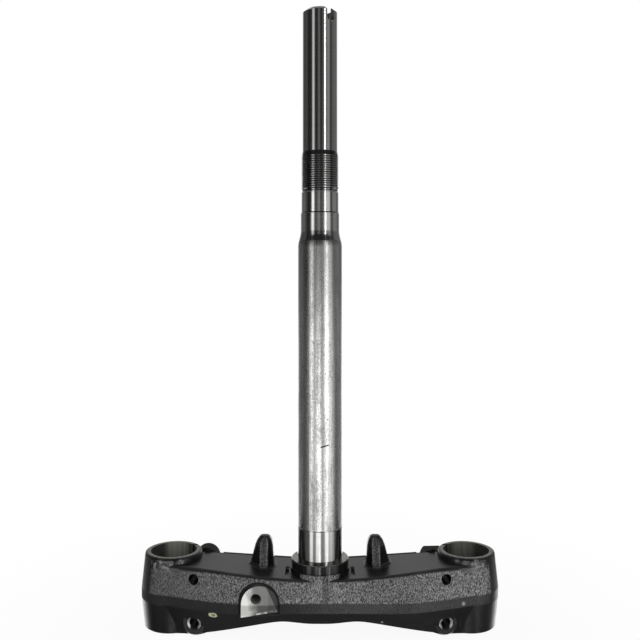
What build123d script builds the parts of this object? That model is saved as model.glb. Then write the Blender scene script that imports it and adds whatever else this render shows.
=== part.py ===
"""Lower fork yoke with a pressed-in steering stem, in mm, +Z up.

The origin is on the stem axis at the lower bearing shoulder, which is the collar's machined top face.
The front of the yoke, with the machined lug, is its -Y side.
"""
from build123d import *
from math import cos, hypot, radians, sin, sqrt
import os

# Steering stem, from the bearing shoulder upwards
press_diameter = 31.0
press_length = 36.0
seat_low_diameter = 30.0
seat_low_length = 20.6
tube_diameter = 29.6
tube_length = 187.2
flare_turned_diameter = 28.5
flare_raw_length = 3.9
flare_turned_length = 7.0
seat_up_diameter = 26.0
seat_up_length = 12.0
pilot_diameter = 25.0
pilot_length = 14.1
relief_diameter = 24.2
relief_length = 2.2
thread_diameter = 25.0
thread_length = 25.1
thread_chamfer = 3.0
post_diameter = 23.5
post_length = 97.3
post_chamfer_radial = 2.9
post_chamfer_axial = 2.2
tube_bore_diameter = 22.4
post_bore_diameter = 16.5
bore_neck_length = 24.0
edge_break = 0.5
notch_width = 6.1
notch_depth = 10.1
notch_turn = 39.4

# Heights of the stem's steps
stem_bottom = -press_length
seat_low_top = seat_low_length
tube_top = seat_low_top + tube_length
flare_turned_z = tube_top + flare_raw_length
flare_top = flare_turned_z + flare_turned_length
seat_up_top = flare_top + seat_up_length
pilot_top = seat_up_top + pilot_length
relief_top = pilot_top + relief_length
thread_top = relief_top + thread_length
stem_top = thread_top + post_length
bore_neck_high = flare_top - edge_break
bore_neck_low = bore_neck_high - bore_neck_length

# Yoke levels
clamp_top = 0.0
land_top = -23.2
land_bottom = -29.6
clamp_bottom = -49.0

# Fork clamps
fork_spacing = 201.0
fork_back = 14.4
fork_bore_diameter = 31.0
clamp_top_radius = 19.3
clamp_land_radius = 21.5
clamp_bottom_radius = 19.4
rim_break = 0.4
rim_round = 1.3

# Pinch bolts, slits and rear ears
pinch_x = 80.4
pinch_slant = 4.3
pinch_high = -11.1
pinch_low = -40.2
pinch_tap_diameter = 6.8
pinch_tap_reach = 45.0
pinch_clear_diameter = 8.4
pinch_clear_reach = 20.0
pinch_sink_diameter = 8.8
pinch_sink_depth = 1.0
slit_front = 23.4
slit_width = 2.4
slit_end_x = 67.5
slit_turn_width = 3.0
slit_back_reach = 20.0
ear_radius = 8.4
ear_back = 36.5
cheek_back = 34.0
cheek_half_height = 19.0
right_ear_top = -4.7
low_boss_radius = 7.4
low_boss_root_radius = 12.5
low_boss_front = -9.0

# Bridge between the clamps: distance from centre, then front face position
bridge_half = 100.0
upper_level = 2.0
land_front = [
    (0.0, -20.3), (22.0, -20.4), (44.0, -20.8), (58.0, -20.2), (70.0, -17.6), (82.0, -14.0), (106.6, -5.4),
]
upper_front = [
    (0.0, -19.1), (30.0, -17.4), (46.0, -14.9), (62.0, -11.8), (88.0, -7.9), (102.6, -3.9),
]
sole_front = [
    (0.0, -10.5), (20.0, -10.6), (40.0, -10.6), (56.0, -9.8), (68.0, -7.8), (82.0, -5.2), (99.8, -4.2),
]
land_rear = 28.0
upper_rear = 24.0
sole_rear = 21.0
plate_edge_round = 2.6

# Bridge in elevation: distance from centre, then height
plate_profile = [(0.0, -8.8), (20.0, -8.5), (40.0, -7.2), (60.0, -5.8), (78.0, -4.6), (112.0, -4.0)]
sole_profile = [
    (0.0, -37.8), (8.0, -37.6), (16.0, -36.6), (24.0, -35.8), (32.0, -36.6), (44.0, -39.0), (56.0, -41.8),
    (68.0, -45.2), (80.0, -48.1), (112.0, -48.6),
]
plate_cut_top = 20.0
sole_cut_bottom = -70.0
profile_cut_reach = 60.0

# Stem boss and collar
boss_radius = 19.8
boss_top = -5.6
collar_radius = 19.2
collar_break = 0.5
puller_x = 21.8
puller_width = 2.5
puller_front = -11.0
puller_back = 5.7
puller_depth = 2.6

# Through bores
bore_start = -60.0
bore_reach = 80.0

# Steering stop fins: distance from centre and position front to back, at the root and at the tip
fin_root_z = -10.5
fin_tip_z = 13.0
fin_root = [(36.2, -3.2), (40.0, -3.2), (48.0, 5.5), (48.0, 14.0), (30.6, 14.0), (30.6, 3.0)]
fin_tip = [(35.6, 0.6), (38.8, 0.6), (42.2, 4.8), (42.2, 11.0), (32.4, 11.0), (32.4, 3.6)]
fin_corner = 1.1
fin_flare = 2.2
fin_flare_steps = [0.0, 0.1, 0.35, 1.0]
fin_crown_height = 7.0
fin_crown_inset = 4.2
fin_crown_steps = [0.0, 0.5, 0.78, 0.94, 1.0]

# Machined lug on the front, left of centre
lug_left = -50.7
lug_right = -27.3
lug_shoulder_z = -22.5
lug_crown_z = -10.9
lug_low_left = -30.8
lug_low_right = -27.0
lug_face = -23.4
lug_root = -17.0
lug_root_left = -55.0
lug_root_right = -24.4
lug_root_crown_z = -10.0
lug_root_low = -34.0
lug_step_x = -33.1
lug_step_depth = 0.3
lug_hole_x = -41.2
lug_hole_z = -19.2
lug_hole_diameter = 6.8
lug_hole_depth = 18.0


def both_sides(points):
    """The half line given from the centre outwards, mirrored and joined into one from left to right."""
    return [(-x, y) for x, y in reversed(points[1:])] + list(points)


def round_back(front, rear):
    """The straight sides and back of a bridge section, from the right end of its front line to the left."""
    return [front[-1], (bridge_half, rear), (-bridge_half, rear), both_sides(front)[0]]


def bolt_plane(side, level, depth):
    """The plane across a pinch bolt's axis, at a depth behind the slit's front wall."""
    along = (-side * sin(radians(pinch_slant)), cos(radians(pinch_slant)), 0)
    return Plane(origin=(side * pinch_x, slit_front, level), x_dir=(0, 0, 1), z_dir=along).offset(depth)


def fin_outline(level, inset):
    """The points of a fin's section at a height, with its corners cut and all drawn in by an inset."""
    part_way = (level - fin_root_z) / (fin_tip_z - fin_root_z)
    corners = [
        (low[0] + (high[0] - low[0]) * part_way, low[1] + (high[1] - low[1]) * part_way)
        for low, high in zip(fin_root, fin_tip)
    ]
    left = min(x for x, y in corners)
    near = min(y for x, y in corners)
    middle_x = (left + max(x for x, y in corners)) / 2
    middle_y = (near + max(y for x, y in corners)) / 2
    scale_x = 1 - inset / (middle_x - left)
    scale_y = 1 - inset / (middle_y - near)
    points = []
    for here, (x, y) in enumerate(corners):
        for next_x, next_y in (corners[here - 1], corners[(here + 1) % len(corners)]):
            share = fin_corner / hypot(next_x - x, next_y - y)
            cut_x = x + (next_x - x) * share
            cut_y = y + (next_y - y) * share
            points.append((middle_x + (cut_x - middle_x) * scale_x, middle_y + (cut_y - middle_y) * scale_y))
    return points


# Steering stem
with BuildPart() as steering_stem:
    with BuildSketch(Plane.XZ):
        with BuildLine():
            Polyline(
                (tube_bore_diameter / 2, stem_bottom),
                (press_diameter / 2 - edge_break, stem_bottom),
                (press_diameter / 2, stem_bottom + edge_break),
                (press_diameter / 2, clamp_top),
                (seat_low_diameter / 2, clamp_top),
                (seat_low_diameter / 2, seat_low_top),
                (tube_diameter / 2, seat_low_top + edge_break),
                (tube_diameter / 2, tube_top),
            )
            Spline(
                (tube_diameter / 2, tube_top),
                (flare_turned_diameter / 2, flare_turned_z),
                (seat_up_diameter / 2, flare_top),
                tangents=[(0.0, 1.0), (0.0, 1.0)],
            )
            Polyline(
                (seat_up_diameter / 2, flare_top),
                (seat_up_diameter / 2, seat_up_top - edge_break),
                (pilot_diameter / 2, seat_up_top),
                (pilot_diameter / 2, pilot_top - edge_break),
                (relief_diameter / 2, pilot_top),
                (relief_diameter / 2, relief_top - edge_break),
                (thread_diameter / 2, relief_top),
                (thread_diameter / 2, thread_top - thread_chamfer),
                (post_diameter / 2, thread_top),
                (post_diameter / 2, stem_top - post_chamfer_axial),
                (post_diameter / 2 - post_chamfer_radial, stem_top),
                (post_bore_diameter / 2, stem_top),
                (post_bore_diameter / 2, bore_neck_high),
                (tube_bore_diameter / 2, bore_neck_low),
                (tube_bore_diameter / 2, stem_bottom),
            )
        make_face()
    revolve(axis=Axis.Z)
    # Key notch through the wall at the top end
    notch_plane = Plane(origin=(0, 0, stem_top), x_dir=(1, 0, 0), z_dir=(0, -1, 0))
    with BuildSketch(notch_plane.rotated((0, 0, notch_turn), ordering=Extrinsic.XYZ)):
        with Locations((0, -(notch_depth - notch_width / 2) / 2)):
            Rectangle(notch_width, notch_depth - notch_width / 2)
        with Locations((0, -(notch_depth - notch_width / 2))):
            Circle(notch_width / 2)
    extrude(amount=post_diameter, mode=Mode.SUBTRACT)

# Bridge of the yoke, drafted up and down from the parting land
with BuildPart() as bridge:
    with BuildSketch(Plane.XY.offset(land_bottom)):
        with BuildLine():
            Spline(*both_sides(land_front))
            Polyline(*round_back(land_front, land_rear))
        make_face()
    extrude(amount=land_top - land_bottom)
    with BuildSketch(Plane.XY.offset(land_top)):
        with BuildLine():
            Spline(*both_sides(land_front))
            Polyline(*round_back(land_front, land_rear))
        make_face()
    with BuildSketch(Plane.XY.offset(upper_level)):
        with BuildLine():
            Spline(*both_sides(upper_front))
            Polyline(*round_back(upper_front, upper_rear))
        make_face()
    loft(ruled=True)
    with BuildSketch(Plane.XY.offset(land_bottom)):
        with BuildLine():
            Spline(*both_sides(land_front))
            Polyline(*round_back(land_front, land_rear))
        make_face()
    with BuildSketch(Plane.XY.offset(clamp_bottom)):
        with BuildLine():
            Spline(*both_sides(sole_front))
            Polyline(*round_back(sole_front, sole_rear))
        make_face()
    loft(ruled=True)
    # Dished plate top
    plate_end = plate_profile[-1][0]
    with BuildSketch(Plane.XZ.offset(-profile_cut_reach)):
        with BuildLine():
            Spline(*both_sides(plate_profile))
            Polyline(
                plate_profile[-1],
                (plate_end, plate_cut_top),
                (-plate_end, plate_cut_top),
                both_sides(plate_profile)[0],
            )
        make_face()
    extrude(amount=2 * profile_cut_reach, mode=Mode.SUBTRACT)
    high_edges = [e for e in bridge.edges() if e.center().Z > boss_top - 6.4 and abs(e.center().X) < 5.0]
    fillet([e for e in high_edges if e.center().Y < -5.0], plate_edge_round)
    # Arched underside
    sole_end = sole_profile[-1][0]
    with BuildSketch(Plane.XZ.offset(-profile_cut_reach)):
        with BuildLine():
            Spline(*both_sides(sole_profile))
            Polyline(
                sole_profile[-1],
                (sole_end, sole_cut_bottom),
                (-sole_end, sole_cut_bottom),
                both_sides(sole_profile)[0],
            )
        make_face()
    extrude(amount=2 * profile_cut_reach, mode=Mode.SUBTRACT)

with BuildPart() as lower_yoke:
    add(bridge.part)
    for side in (-1, 1):
        fork_x = side * fork_spacing / 2
        # Rear cheek behind the slit
        cheek_x = side * (pinch_x + fork_spacing / 2) / 2
        with Locations((cheek_x, (slit_front + cheek_back) / 2, (pinch_high + pinch_low) / 2)):
            Box(fork_spacing / 2 - pinch_x + ear_radius, cheek_back - slit_front, 2 * cheek_half_height)
        # Bolt bosses on the cheek
        for level in (pinch_high, pinch_low):
            with BuildSketch(bolt_plane(side, level, 0)):
                Circle(ear_radius)
            extrude(amount=ear_back - slit_front)
        # Flat top of the right-hand ear, before the clamp's ring stands beside it
        if side > 0:
            with Locations((pinch_x, slit_front, right_ear_top)):
                Box(
                    3 * ear_radius, 40.0, 10.0,
                    align=(Align.CENTER, Align.MIN, Align.MIN), mode=Mode.SUBTRACT,
                )
        # Fork clamp body, drafted both ways from the land
        with BuildSketch(Plane(origin=(fork_x, fork_back, 0), x_dir=(1, 0, 0), z_dir=(0, -1, 0))):
            with BuildLine():
                Polyline(
                    (0, clamp_bottom),
                    (clamp_bottom_radius - rim_break, clamp_bottom),
                    (clamp_bottom_radius, clamp_bottom + rim_break),
                    (clamp_land_radius, land_bottom),
                    (clamp_land_radius, land_top),
                    (clamp_top_radius, clamp_top - rim_round),
                    (clamp_top_radius - rim_round * 0.3, clamp_top - rim_round * 0.3),
                    (clamp_top_radius - rim_round, clamp_top),
                    (0, clamp_top),
                    close=True,
                )
            make_face()
        revolve(axis=Axis((fork_x, fork_back, 0), (0, 0, 1)))
        # Drafted boss round the lower bolt hole in front
        with BuildSketch(bolt_plane(side, pinch_low, -slit_front)):
            Circle(low_boss_root_radius)
        with BuildSketch(bolt_plane(side, pinch_low, low_boss_front - slit_front)):
            Circle(low_boss_radius)
        loft(ruled=True)
        with Locations((side * pinch_x, 0, clamp_bottom)):
            Box(40, 60, 10, align=(Align.CENTER, Align.CENTER, Align.MAX), mode=Mode.SUBTRACT)
    # Stem boss and collar
    with Locations((0, 0, land_bottom)):
        Cylinder(boss_radius, boss_top - land_bottom, align=(Align.CENTER, Align.CENTER, Align.MIN))
    with Locations((0, 0, boss_top)):
        Cylinder(collar_radius, -boss_top - collar_break, align=(Align.CENTER, Align.CENTER, Align.MIN))
    with Locations((0, 0, -collar_break)):
        Cone(
            collar_radius, collar_radius - collar_break, collar_break,
            align=(Align.CENTER, Align.CENTER, Align.MIN),
        )
    # Steering stop fins, flared at the plate, and closing in at the crown along a quarter circle
    plate_x, plate_z = plate_profile[2]
    fin_slope = (plate_profile[3][1] - plate_profile[1][1]) / (plate_profile[3][0] - plate_profile[1][0])
    fin_sections = [(fin_root_z, -fin_flare, fin_slope)]
    for step in fin_flare_steps:
        flare_level = plate_z + fin_flare * step
        fin_sections.append((flare_level, -fin_flare * (1 - sqrt(1 - (1 - step) ** 2)), fin_slope))
    for step in fin_crown_steps:
        crown_level = fin_tip_z - fin_crown_height * (1 - step)
        fin_sections.append((crown_level, fin_crown_inset * (1 - sqrt(1 - step * step)), 0.0))
    for side in (-1, 1):
        with BuildPart(mode=Mode.PRIVATE) as fin:
            for level, inset, slope in fin_sections:
                outline = fin_outline(level, inset)
                stretch = hypot(1, slope)
                along = (1, 0, side * slope)
                upright = (-side * slope, 0, 1)
                with BuildSketch(Plane(origin=(side * plate_x, 0, level), x_dir=along, z_dir=upright)):
                    with BuildLine():
                        Polyline(*[(side * (x - plate_x) * stretch, y) for x, y in outline], close=True)
                    make_face()
            loft(ruled=True)
        add(fin.part)
    # Lug with its machined face
    with BuildPart(mode=Mode.PRIVATE) as lug:
        with BuildSketch(Plane.XZ.offset(-lug_face)):
            with BuildLine():
                Line((lug_right, lug_low_right), (lug_right, lug_shoulder_z))
                ThreePointArc(
                    (lug_right, lug_shoulder_z),
                    ((lug_left + lug_right) / 2, lug_crown_z),
                    (lug_left, lug_shoulder_z),
                )
                Line((lug_left, lug_shoulder_z), (lug_left, lug_low_left))
                Line((lug_left, lug_low_left), (lug_right, lug_low_right))
            make_face()
        with BuildSketch(Plane.XZ.offset(-lug_root)):
            with BuildLine():
                Line((lug_root_right, lug_root_low), (lug_root_right, lug_shoulder_z))
                ThreePointArc(
                    (lug_root_right, lug_shoulder_z),
                    ((lug_root_left + lug_root_right) / 2, lug_root_crown_z),
                    (lug_root_left, lug_shoulder_z),
                )
                Line((lug_root_left, lug_shoulder_z), (lug_root_left, lug_root_low))
                Line((lug_root_left, lug_root_low), (lug_root_right, lug_root_low))
            make_face()
        loft(ruled=True)
    add(lug.part)
    # Shallow step milled on the lug's right
    with Locations((lug_step_x, lug_face, lug_shoulder_z)):
        Box(
            lug_root_right - lug_root_left, 2 * lug_step_depth, lug_root_crown_z - lug_root_low + 10.0,
            align=(Align.MIN, Align.CENTER, Align.CENTER), mode=Mode.SUBTRACT,
        )
    with Locations(Location((lug_hole_x, lug_face, lug_hole_z), (-90, 0, 0))):
        Cylinder(
            lug_hole_diameter / 2, lug_hole_depth,
            align=(Align.CENTER, Align.CENTER, Align.MIN), mode=Mode.SUBTRACT,
        )
    # Puller slots beside the collar
    for side in (-1, 1):
        with Locations((side * puller_x, (puller_front + puller_back) / 2, plate_profile[1][1])):
            Box(puller_width, puller_back - puller_front, 2 * puller_depth, mode=Mode.SUBTRACT)
    # Stem bore
    with Locations((0, 0, bore_start)):
        Cylinder(
            press_diameter / 2, bore_reach,
            align=(Align.CENTER, Align.CENTER, Align.MIN), mode=Mode.SUBTRACT,
        )
    for side in (-1, 1):
        # Fork bore
        with Locations((side * fork_spacing / 2, fork_back, bore_start)):
            Cylinder(
                fork_bore_diameter / 2, bore_reach,
                align=(Align.CENTER, Align.CENTER, Align.MIN), mode=Mode.SUBTRACT,
            )
        # Clamp slit, running inboard and then out at the back
        slit_x = side * (slit_end_x + fork_spacing / 2) / 2
        with Locations((slit_x, slit_front + slit_width / 2, (clamp_top + clamp_bottom) / 2)):
            Box(fork_spacing / 2 - slit_end_x, slit_width, 2 * (clamp_top - clamp_bottom), mode=Mode.SUBTRACT)
        turn_x = side * (slit_end_x + slit_turn_width / 2)
        with Locations((turn_x, slit_front + slit_back_reach / 2, (clamp_top + clamp_bottom) / 2)):
            Box(slit_turn_width, slit_back_reach, 2 * (clamp_top - clamp_bottom), mode=Mode.SUBTRACT)
        # Pinch bolt holes, tapped in front of the slit and clear behind it
        for level in (pinch_high, pinch_low):
            with BuildSketch(bolt_plane(side, level, slit_width / 2)):
                Circle(pinch_tap_diameter / 2)
            extrude(amount=-pinch_tap_reach, mode=Mode.SUBTRACT)
            with BuildSketch(bolt_plane(side, level, slit_width / 2)):
                Circle(pinch_clear_diameter / 2)
            extrude(amount=pinch_clear_reach, mode=Mode.SUBTRACT)
        # Countersink of the lower bolt hole
        with Locations(bolt_plane(side, pinch_low, low_boss_front - slit_front)):
            Cone(
                pinch_sink_diameter / 2, pinch_tap_diameter / 2, pinch_sink_depth,
                align=(Align.CENTER, Align.CENTER, Align.MIN), mode=Mode.SUBTRACT,
            )

steering_stem.part.label = "steering_stem"
lower_yoke.part.label = "lower_yoke"
os.makedirs("parts", exist_ok=True)
export_step(steering_stem.part, "parts/steering_stem.step")
export_step(lower_yoke.part, "parts/lower_yoke.step")
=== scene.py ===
"""Looks for a forged lower fork yoke and its turned steering stem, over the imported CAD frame."""

import logging
import math
from dataclasses import dataclass
from enum import Enum

import bpy
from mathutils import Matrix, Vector


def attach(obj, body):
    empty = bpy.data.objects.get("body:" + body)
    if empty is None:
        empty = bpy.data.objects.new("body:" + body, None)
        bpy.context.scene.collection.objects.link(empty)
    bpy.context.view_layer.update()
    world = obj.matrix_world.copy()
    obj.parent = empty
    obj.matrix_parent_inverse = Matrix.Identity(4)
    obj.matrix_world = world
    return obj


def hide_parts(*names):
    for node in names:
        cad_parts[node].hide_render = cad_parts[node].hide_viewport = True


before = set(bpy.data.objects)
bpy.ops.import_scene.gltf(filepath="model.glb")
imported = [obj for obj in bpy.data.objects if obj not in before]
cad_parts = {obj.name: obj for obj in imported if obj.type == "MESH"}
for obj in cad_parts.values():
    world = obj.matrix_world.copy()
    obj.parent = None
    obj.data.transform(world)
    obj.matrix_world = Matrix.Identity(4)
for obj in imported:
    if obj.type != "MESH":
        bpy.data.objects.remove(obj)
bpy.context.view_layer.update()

LOG = logging.getLogger("yoke")
MM = 0.001
ROOT = "root"
WHITE = (1.0, 1.0, 1.0, 1.0)
WELD = 1e-6


def mm(*lengths: float) -> tuple:
    """Lengths in millimetres, as metres."""
    return tuple(length * MM for length in lengths)


def grey(level: float) -> tuple:
    """A grey of one level, as a colour."""
    return (level, level, level, 1.0)


class Wire:
    """The value on one shader socket, with arithmetic that adds Math nodes."""

    def __init__(self, board: "Board", socket: bpy.types.NodeSocket) -> None:
        """Hold a socket and the board that it is on.

        Args:
            board: The board that new nodes go on.
            socket: The output socket whose value this is.
        """
        self.board = board
        self.socket = socket

    def _math(self, operation: str, *values: object) -> "Wire":
        """Add one Math node.

        Args:
            operation: The Math node's operation.
            values: Its inputs, in order, as wires or numbers.

        Returns:
            The node's output.
        """
        made = self.board.node("ShaderNodeMath", {"operation": operation}, dict(enumerate(values)))
        return Wire(self.board, made.outputs[0])

    def __add__(self, other: object) -> "Wire":
        """Sum."""
        return self._math("ADD", self, other)

    def __radd__(self, other: object) -> "Wire":
        """Sum, from the right."""
        return self._math("ADD", other, self)

    def __sub__(self, other: object) -> "Wire":
        """Difference."""
        return self._math("SUBTRACT", self, other)

    def __rsub__(self, other: object) -> "Wire":
        """Difference, from the right."""
        return self._math("SUBTRACT", other, self)

    def __mul__(self, other: object) -> "Wire":
        """Product."""
        return self._math("MULTIPLY", self, other)

    def __abs__(self) -> "Wire":
        """Size without sign."""
        return self._math("ABSOLUTE", self)

    def most(self, other: object) -> "Wire":
        """The greater of two values."""
        return self._math("MAXIMUM", self, other)

    def hypot(self, other: "Wire") -> "Wire":
        """The length of the vector whose two parts these are."""
        return self._math("SQRT", self * self + other * other)

    def angle(self, other: "Wire") -> "Wire":
        """The arc tangent of this value over another, in radians."""
        return self._math("ARCTAN2", self, other)

    def step(self, low: float, high: float) -> "Wire":
        """A soft step from 0 at low to 1 at high, or the other way where low is the greater.

        Args:
            low: The value at which the step is 0.
            high: The value at which the step is 1.

        Returns:
            The step.
        """
        start, end, first, last = (low, high, 0.0, 1.0) if low < high else (high, low, 1.0, 0.0)
        made = self.board.node(
            "ShaderNodeMapRange",
            {"interpolation_type": "SMOOTHSTEP"},
            {"Value": self, "From Min": start, "From Max": end, "To Min": first, "To Max": last},
        )
        return Wire(self.board, made.outputs["Result"])


@dataclass(frozen=True)
class Noise:
    """Noise cells per metre along X, Y and Z, with the noise's detail and roughness."""

    cells: tuple
    detail: float = 2.0
    rough: float = 0.5


class Board:
    """The node tree of one finish and the one way that nodes are put on it."""

    def __init__(self, tree: bpy.types.NodeTree) -> None:
        """Clear a node tree for use.

        Args:
            tree: The node tree of a material or a world.
        """
        self.tree = tree
        tree.nodes.clear()

    @classmethod
    def material(cls, name: str) -> tuple[bpy.types.Material, "Board"]:
        """Make a material.

        Args:
            name: The material's name.

        Returns:
            The material and its board.
        """
        made = bpy.data.materials.new(name)
        made.use_nodes = True
        return made, cls(made.node_tree)

    def node(self, kind: str, settings: dict | None = None, inputs: dict | None = None) -> bpy.types.Node:
        """Add a node.

        Args:
            kind: The node's type.
            settings: Attributes that are set first; "stops" fills a colour ramp.
            inputs: Values, sockets or wires, by the name or number of the input.

        Returns:
            The node.
        """
        made = self.tree.nodes.new(kind)
        for name, value in (settings or {}).items():
            if name == "stops":
                ramp = made.color_ramp
                while len(ramp.elements) < len(value):
                    ramp.elements.new(0.5)
                for element, (place, colour) in zip(ramp.elements, value):
                    element.position = place
                    element.color = colour
            else:
                setattr(made, name, value)
        for name, value in (inputs or {}).items():
            if isinstance(value, Wire):
                value = value.socket
            if isinstance(value, bpy.types.NodeSocket):
                self.tree.links.new(value, made.inputs[name])
            else:
                made.inputs[name].default_value = value
        return made

    def split(self, vector: bpy.types.NodeSocket) -> tuple[Wire, Wire, Wire]:
        """Take a vector apart.

        Args:
            vector: The vector.

        Returns:
            Its X, Y and Z.
        """
        x, y, z = self.node("ShaderNodeSeparateXYZ", None, {0: vector}).outputs
        return Wire(self, x), Wire(self, y), Wire(self, z)

    def place(self) -> bpy.types.NodeSocket:
        """The place on the surface in the part's frame, in metres."""
        return self.node("ShaderNodeTexCoord").outputs["Object"]

    def facing(self) -> bpy.types.NodeSocket:
        """The way the surface faces in the part's frame."""
        return self.node("ShaderNodeNewGeometry").outputs["Normal"]

    def grain(self, vector: bpy.types.NodeSocket, noise: Noise) -> Wire:
        """Noise along the part's own axes.

        Args:
            vector: The place on the surface.
            noise: The noise.

        Returns:
            Noise from 0 to 1.
        """
        mapped = self.node("ShaderNodeMapping", None, {"Vector": vector, "Scale": noise.cells})
        made = self.node(
            "ShaderNodeTexNoise",
            None,
            {"Vector": mapped.outputs[0], "Scale": 1.0, "Detail": noise.detail, "Roughness": noise.rough},
        )
        return Wire(self, made.outputs[0])

    def blend(self, share: Wire, first: object, second: object) -> bpy.types.NodeSocket:
        """Mix two colours.

        Args:
            share: How much of the second colour shows.
            first: A colour or a colour socket.
            second: A colour or a colour socket.

        Returns:
            The mixed colour.
        """
        made = self.node("ShaderNodeMix", {"data_type": "RGBA"}, {"Factor": share, 6: first, 7: second})
        return made.outputs[2]

    def bump(
        self, height: Wire, reach: float, before: bpy.types.NodeSocket | None = None
    ) -> bpy.types.NodeSocket:
        """Raise the surface by a height.

        Args:
            height: The height, from 0 to 1.
            reach: What 1 stands for, in metres.
            before: A normal that this is added to.

        Returns:
            The new normal.
        """
        inputs: dict = {"Height": height, "Distance": reach, "Strength": 1.0}
        if before is not None:
            inputs["Normal"] = before
        return self.node("ShaderNodeBump", None, inputs).outputs[0]

    def mix_shader(self, share: Wire, first: bpy.types.Node, second: bpy.types.Node) -> bpy.types.Node:
        """Mix two shaders.

        Args:
            share: How much of the second shader shows.
            first: A shader's node.
            second: A shader's node.

        Returns:
            The mixed shader's node.
        """
        return self.node("ShaderNodeMixShader", None, {0: share, 1: first.outputs[0], 2: second.outputs[0]})

    def end(self, shader: bpy.types.Node, kind: str = "ShaderNodeOutputMaterial") -> None:
        """End the board in a shader, as a material or as another kind of output."""
        self.node(kind, None, {"Surface": shader.outputs[0]})


class YokeSpot:
    """A place on the yoke, the way it faces and its distances from the axes, as wires."""

    def __init__(self, board: Board, fork: tuple) -> None:
        """Ask a board.

        Args:
            board: The finish's board.
            fork: X and Y of the right fork's axis.
        """
        self.board = board
        self.vector = board.place()
        self.x, self.y, self.z = board.split(self.vector)
        _, self.facing_y, self.facing_z = board.split(board.facing())
        self.off_fork = (abs(self.x) - fork[0]).hypot(self.y - fork[1])
        self.off_stem = self.x.hypot(self.y)


@dataclass(frozen=True)
class BareFaces:
    """Where the yoke's paint is missing, each from 0 to 1."""

    bore: Wire
    lug: Wire
    sink: Wire
    drilled: Wire
    machined: Wire
    painted: Wire


@dataclass(frozen=True)
class PaintedForms:
    """Where the yoke's painted forms are, each from 0 to 1."""

    ear: Wire
    on_land: Wire
    low: Wire
    drawn_in: Wire
    amount: Wire
    pebble: Wire
    neck: Wire
    glint: Wire
    fin: Wire
    ridge: Wire
    ridge_edge_highlight: Wire
    gloss: Wire


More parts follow.
